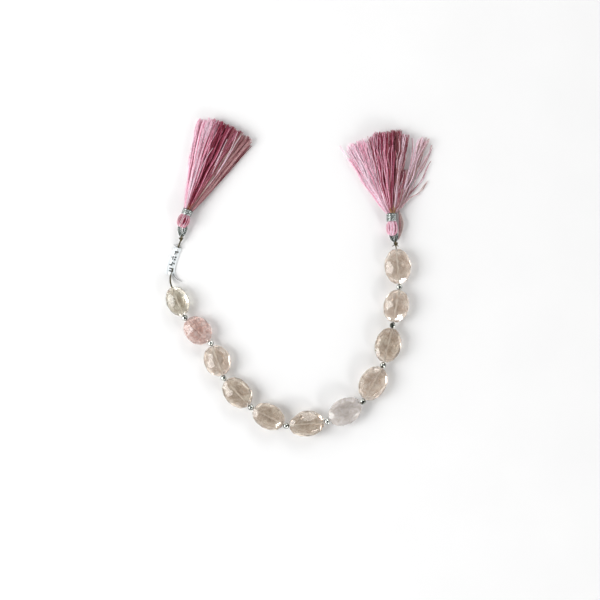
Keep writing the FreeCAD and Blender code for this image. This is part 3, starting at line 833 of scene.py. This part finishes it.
def layYarn(tassel, across, height, clumpLength, swing, filaments):
    look, draw = tassel.look, tassel.draw
    tone = toneFor(tassel.side, across, height, draw)
    length = clumpLength * (1 - look["ragged"] * draw.random() ** 2)
    phase, beat = draw.uniform(*anyPhase), draw.uniform(1.2, 2.6)
    sway = draw.uniform(0.3, 1.0) * look["waviness"]
    mound = math.sqrt(max(0.12, 1 - (across * 0.92) ** 2)) if abs(across) < 1.08 else 0.35
    topSpace = (tassel.top - tassel.floor - 0.3 * mm) * mound
    endHeight = tassel.floor + 0.15 * mm + topSpace * height
    startY, startZ = neckSpot(across, height)
    begin = tassel.wrapHigh - skirtShape["insideWrap"]
    steps = skirtShape["steps"]
    strands = []
    for _ in range(filaments):
        turn = draw.uniform(*anyPhase)
        spread = math.sqrt(draw.random()) * look["yarnSpread"] * min(1, filaments / 8)
        ownTone = draw.random() < skirtShape["sameTone"]
        finish = tone if ownTone else toneFor(tassel.side, across, height, draw)
        end = length * (1 - skirtShape["unevenCut"] * draw.random()) * tassel.reach - tassel.apex
        kink = draw.uniform(*anyPhase)
        points = []
        for step in range(steps):
            part = step / (steps - 1)
            run = begin + (end - begin) * part ** 0.9
            distance = run + tassel.apex
            out = tassel.spread(run)
            angle = tassel.fan * (across + swing * out * out - look["curl"] * max(0, across) * part ** 3)
            opened = smooth((run - tassel.wrapHigh + 0.6 * mm) / skirtShape["opensOver"])
            fray = spread * (0.35 + 0.65 * out + look["fuzz"] * part ** 4)
            x = run if run < 0 else distance * math.cos(angle) - tassel.apex
            y = startY * (1 - opened) + distance * math.sin(angle) * opened
            y += sway * math.sin(beat * 6.3 * part + phase) * out + fray * math.cos(turn + 0.8 * part)
            y += skirtShape["kink"] * math.sin(19 * part + kink) * out
            z = startZ * (1 - out) + endHeight * out + fray * 0.6 * math.sin(turn + 0.8 * part)
            points.append(Vector((x, y, max(z, tassel.floor + skirtShape["aboveTable"]))))
        widths = [0.55 + 0.45 * smooth(4 * step / (steps - 1)) for step in range(steps)]
        widths[-1] = 0.6
        strands.append((tassel.world(points), widths, finish))
    return strands


def layStray(tassel, across):
    # a loose filament that comes up out of the bundle and lies across its neighbours
    draw, steps = tassel.draw, skirtShape["steps"]
    drift = draw.uniform(-0.28, 0.28)
    start, length = draw.uniform(0.12, 0.62), draw.uniform(0.72, 0.99)
    # painted light and shade: strays on the lit side may be pale, those in the middle darker, those on the
    # shaded side mostly dusky or mauve
    middle = [pink, rose, rose] if across < 0.3 else [pale, pink, rose]
    finish = draw.choice(middle if across > -0.2 else [pale, shadedDusky, shadedMauve])
    points = []
    for step in range(steps):
        part = start + (1 - start) * step / (steps - 1)
        run = tassel.wrapHigh + (length * tassel.reach - tassel.apex - tassel.wrapHigh) * part
        angle = tassel.fan * (across + drift * part * part)
        out = tassel.spread(run)
        mound = math.sqrt(max(0.12, 1 - min(1, abs(across + drift * part)) ** 2 * 0.85))
        roof = (tassel.top - tassel.floor) * mound + tassel.floor
        z = 1.9 * mm * (1 - out) + (roof + 0.1 * mm) * out
        z -= 1.2 * mm * (1 - smooth(4 * step / (steps - 1)))
        y = (run + tassel.apex) * math.sin(angle) + 0.25 * mm * math.sin(7 * part + across * 9)
        points.append(Vector((run, y, max(z, tassel.floor + 0.15 * mm))))
    return tassel.world(points), None, finish


def layLooseEnd(tassel):
    # a short bronze end of the winding thread that stands out of the neck
    draw = tassel.draw
    y, lean = draw.uniform(-1.2, 1.0) * mm, draw.uniform(-0.5, 0.5)
    long, hook = draw.uniform(2.0, 4.4) * mm, draw.uniform(-0.7, 0.7) * mm
    points = []
    for step in range(8):
        part = step / 7
        points.append(Vector((
            tassel.wrapHigh - 0.4 * mm + long * part, y + long * lean * part + hook * part ** 3,
            2.1 * mm + 0.7 * mm * math.sin(2.2 * part))))
    return tassel.world(points), None, bronze


def makeSkirt(tassel):
    side = tassel.side
    skirt = spinThreads(f"{side}SilkSkirt", layFilaments(tassel), skirtShape["filament"], silkLitAndShaded)
    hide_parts(f"{side}_skirt")
    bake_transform(skirt)


wrapShape = {
    "turnSteps": 28, "overlap": 1.04, "slip": 0.05 * mm, "uneven": 0.03 * mm,
    "underneath": 0.03 * mm,   # how much deeper the dark thread lies
}


def makeWrap(tassel):
    # one bright thread wound over a dark one that lies half a turn further on
    side, turns = tassel.side, tassel.look["wrapTurns"]
    long = tassel.wrapHigh - tassel.wrapLow
    thread = long / turns
    steps = turns * wrapShape["turnSteps"]
    strands = []
    for layer, shrink in enumerate((0.0, wrapShape["underneath"])):
        points = []
        for step in range(steps + 1):
            turn = 2 * math.pi * turns * step / steps
            run = tassel.wrapLow + thread / 2 + (long - thread) * step / steps
            run += wrapShape["slip"] * math.sin(turn * 0.37 + layer * 2.0) + layer * thread * 0.5
            girth = tassel.wrapRadius - thread / 2 - shrink + wrapShape["uneven"] * math.sin(turn * 1.7)
            points.append(Vector((run, girth * math.cos(turn), girth * math.sin(turn))))
        strands.append((tassel.world(points), None, layer))
    thickness = thread * wrapShape["overlap"]
    wrap = spinThreads(f"{side}WoundWrap", strands, thickness, [silverThread, darkThread], 1)
    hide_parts(f"{side}_wrap")
    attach(wrap, f"{side}_tassel")


headShape = {
    "coreLength": 0.8, "coreGirth": 0.76,   # the core against the head
    "thread": 0.27 * mm, "twist": 0.8, "puff": (0.84, 0.97),
    "underWrap": 0.5 * mm, "neckRadius": 1.9 * mm, "steps": 15,
}


def makeHead(tassel):
    # the folded end of the skein: threads that run over the end and back under the wrap
    side, look, draw = tassel.side, tassel.look, tassel.draw
    back, front = tassel.headLow, tassel.wrapLow + headShape["underWrap"]
    middle, halfLength = (back + front) / 2, (front - back) / 2
    radius = tassel.headRadius
    bpy.ops.mesh.primitive_uv_sphere_add(segments=40, ring_count=20, radius=1)
    core = bpy.context.object
    core.name = core.data.name = f"{side}HeadCore"
    coreRadius = radius * headShape["coreGirth"]
    core.scale = (halfLength * headShape["coreLength"], coreRadius, coreRadius)
    core.location = (middle, 0, 0)
    bpy.ops.object.transform_apply(location=True, rotation=True, scale=True)
    # the core is painted shade: deep silk that shows as shade through the gaps between the head's threads
    core.data.materials.append(silkLitAndShaded[shadedDeep])
    bpy.ops.object.shade_smooth()
    settle(core, tassel.place)
    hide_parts(f"{side}_head")
    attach(core, f"{side}_tassel")
    strands = []
    for strand in range(look["headStrands"]):
        around = 2 * math.pi * (strand + draw.uniform(-0.4, 0.4)) / look["headStrands"]
        twist = draw.uniform(-headShape["twist"], headShape["twist"])
        # painted light and shade at random: pale strands for highlights, dusky and deep ones for shade
        tone = draw.choices([pale, pink, rose, shadedDusky, shadedDeep], look["headShares"])[0]
        puff = draw.uniform(*headShape["puff"])
        points = []
        for step in range(headShape["steps"]):
            share = 0.04 + 0.96 * step / (headShape["steps"] - 1)
            lean = math.pi * share
            girth = radius * puff * math.sin(lean) ** 0.8
            if share > 0.5:
                girth = max(girth, headShape["neckRadius"])
            turn = around + twist * math.sin(lean)
            run = middle - halfLength * math.cos(lean) * 0.99
            points.append(Vector((run, girth * math.cos(turn), girth * math.sin(turn))))
        strands.append((tassel.world(points), None, tone))
    head = spinThreads(f"{side}HeadSilk", strands, headShape["thread"], silkLitAndShaded)
    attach(head, f"{side}_tassel")


loopShape = {
    "steps": 44, "rise": (-0.40, 0.45), "lean": (-0.12, 0.12), "uneven": (-0.03, 0.03),   # in mm
    "slimmest": 0.3 * mm, "narrowEnd": 0.35, "weave": 0.16 * mm,
    "bendFrom": 1.1 * mm, "bendTo": 3.2 * mm,   # from the knot
}


def makeLoop(tassel):
    side, look, draw = tassel.side, tassel.look, tassel.draw
    thread = look["loopThread"]
    knot, _ = jointPlace(f"{side}_tassel_lift")
    headMiddle = tassel.place @ Vector(((tassel.headLow + tassel.wrapLow) / 2, 0, 0))
    place = placeAlong(knot, headMiddle - knot)
    along = place.to_3x3() @ Vector((1, 0, 0))
    wide = place.to_3x3() @ Vector((0, 1, 0))
    near, far = reachOf(f"{side}_loop", knot, along)
    half = reachOf(f"{side}_loop", knot, wide)[1]
    strands = []
    for winding in range(look["loopTurns"]):
        narrow = look["loopSpread"] * (winding + draw.uniform(0, 0.8)) / look["loopTurns"]
        rise = draw.uniform(*loopShape["rise"]) * mm
        lean = draw.uniform(*loopShape["lean"]) * mm
        bend = max(half - thread / 2 - narrow, loopShape["slimmest"])
        points = []
        for step in range(loopShape["steps"]):
            turn = 2 * math.pi * step / loopShape["steps"]
            x, y = math.cos(turn), math.sin(turn)
            run = (near + far) / 2 + ((far - near) / 2 - thread / 2) * x
            run += draw.uniform(*loopShape["uneven"]) * mm
            squeeze = bend * (1 - loopShape["narrowEnd"] * max(0, -x) ** 2)
            across = squeeze * math.copysign(abs(y) ** 0.8, y) + lean * x
            height = rise * (0.6 + 0.4 * y) + loopShape["weave"] * math.sin(2 * turn + winding)
            points.append(place @ Vector((run, across, height)))
        strands.append((points, None, 0 if winding % 3 == 0 else 1))
    loop = spinThreads(f"{side}ThreadLoop", strands, thread, [silverThread, darkThread], 1, True)
    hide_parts(f"{side}_loop")
    start, end = knot + along * loopShape["bendFrom"], knot + along * loopShape["bendTo"]
    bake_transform(loop)
    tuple(start)
    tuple(end)


slackShape = {"strands": 64, "steps": 16, "thread": 0.26 * mm}


def makeSlackBundle(tassel):
    # the silk that missed the wrap and bulges beside the right head
    draw = tassel.draw
    low, high = reachOf("right_slack_bundle", tassel.neck, tassel.along)
    outer, _ = reachOf("right_slack_bundle", tassel.neck, tassel.wide)
    strands = []
    for _ in range(slackShape["strands"]):
        layer, lift = draw.random(), draw.random()
        turn = draw.uniform(*anyPhase)
        points = []
        for step in range(slackShape["steps"]):
            share = step / (slackShape["steps"] - 1)
            swell = math.sin(math.pi * share)
            y = (-3.5 + 0.45 * share) * mm - swell * (0.2 * mm + (-outer - 3.6 * mm) * layer)
            y += 0.1 * mm * math.sin(9 * share + turn)
            z = (-0.6 - 0.6 * share) * mm + swell * (2 * lift - 1) * 1.0 * mm * (1 - 0.5 * layer)
            run = high + 1.6 * mm + (low - high - 1.8 * mm) * share
            points.append(Vector((run, y, z)))
        # painted shade: the bundle lies on the shaded side, so its silks are ashen, dusky and mauve, the
        # outer layer all ashen
        tone = shadedAshen if layer > 0.6 else draw.choices([shadedAshen, shadedDusky, shadedMauve], [5, 2, 2])[0]
        strands.append((tassel.world(points), None, tone))
    slack = spinThreads("rightSlackSilk", strands, slackShape["thread"], silkLitAndShaded)
    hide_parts("right_slack_bundle")
    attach(slack, "right_tassel")


for side in ("left", "right"):
    tassel = Tassel(side)
    makeSkirt(tassel)
    makeWrap(tassel)
    makeHead(tassel)
    makeLoop(tassel)
    if side == "right":
        makeSlackBundle(tassel)
    print(side, "tassel made")


# the table, the lights and the camera

stageLook = {
    "cameraOver": Vector((0.242, -12.1, 0)) * mm, "cameraHeight": 600 * mm, "lens": 74.07,
    "tableTone": 0.965, "tableWide": 6, "tableDrop": 0.05 * mm,
    "lamps": {   # place, width, power
        "keyLamp": ((-0.80, -0.10, 0.60), 0.62, 8.0),
        "cornerLamp": ((0.52, -0.72, 0.42), 0.16, 1.8),
        "backLamp": ((0.30, 0.85, 0.60), 0.40, 2.2),
    },
    "roomStops": [(0.0, 1.45), (0.42, 1.40), (0.66, 0.10), (1.0, 0.01)],   # height in the sky, light
}


def setStage():
    bpy.ops.mesh.primitive_plane_add(size=stageLook["tableWide"], location=(0, 0, -stageLook["tableDrop"]))
    table = bpy.context.object
    table.name = table.data.name = "paleTable"
    material, tree, shader = newMaterial("tableTop", Roughness=0.9, Specular_IOR_Level=0.1)
    tone = stageLook["tableTone"]
    shade = ramp(tree, objectNoise(tree, 30, 3), [(0.3, (tone - 0.01,) * 3), (0.7, (tone + 0.01,) * 3)])
    tree.links.new(shade, shader.inputs["Base Color"])
    table.data.materials.append(material)
    lightRoom()
    for name, (spot, width, power) in stageLook["lamps"].items():
        addLight(name, spot, width, power)
    eye = bpy.data.cameras.new("camera")
    eye.lens = stageLook["lens"]
    eye.sensor_width = 36
    eye.clip_start = 0.01
    camera = bpy.data.objects.new("camera", eye)
    camera.location = stageLook["cameraOver"] + up * stageLook["cameraHeight"]
    bpy.context.collection.objects.link(camera)
    bpy.context.scene.camera = camera
    bpy.context.scene.view_settings.view_transform = "Standard"


def lightRoom():
    # a room that is bright round the walls and dark overhead
    world = bpy.data.worlds.new("softRoom")
    world.use_nodes = True
    tree = world.node_tree
    place = tree.nodes.new("ShaderNodeTexCoord")
    split = tree.nodes.new("ShaderNodeSeparateXYZ")
    tree.links.new(place.outputs["Generated"], split.inputs["Vector"])
    stops = [(height, (light,) * 3) for height, light in stageLook["roomStops"]]
    tree.links.new(ramp(tree, split.outputs["Z"], stops), tree.nodes["Background"].inputs["Color"])
    bpy.context.scene.world = world


def addLight(name, spot, size, power):
    lamp = bpy.data.lights.new(name, "AREA")
    lamp.shape = "SQUARE"
    lamp.size = size
    lamp.energy = power
    light = bpy.data.objects.new(name, lamp)
    light.location = spot
    light.rotation_mode = "QUATERNION"
    light.rotation_quaternion = (-Vector(spot)).to_track_quat("-Z", "Y")
    bpy.context.collection.objects.link(light)


setStage()
print("stage set")
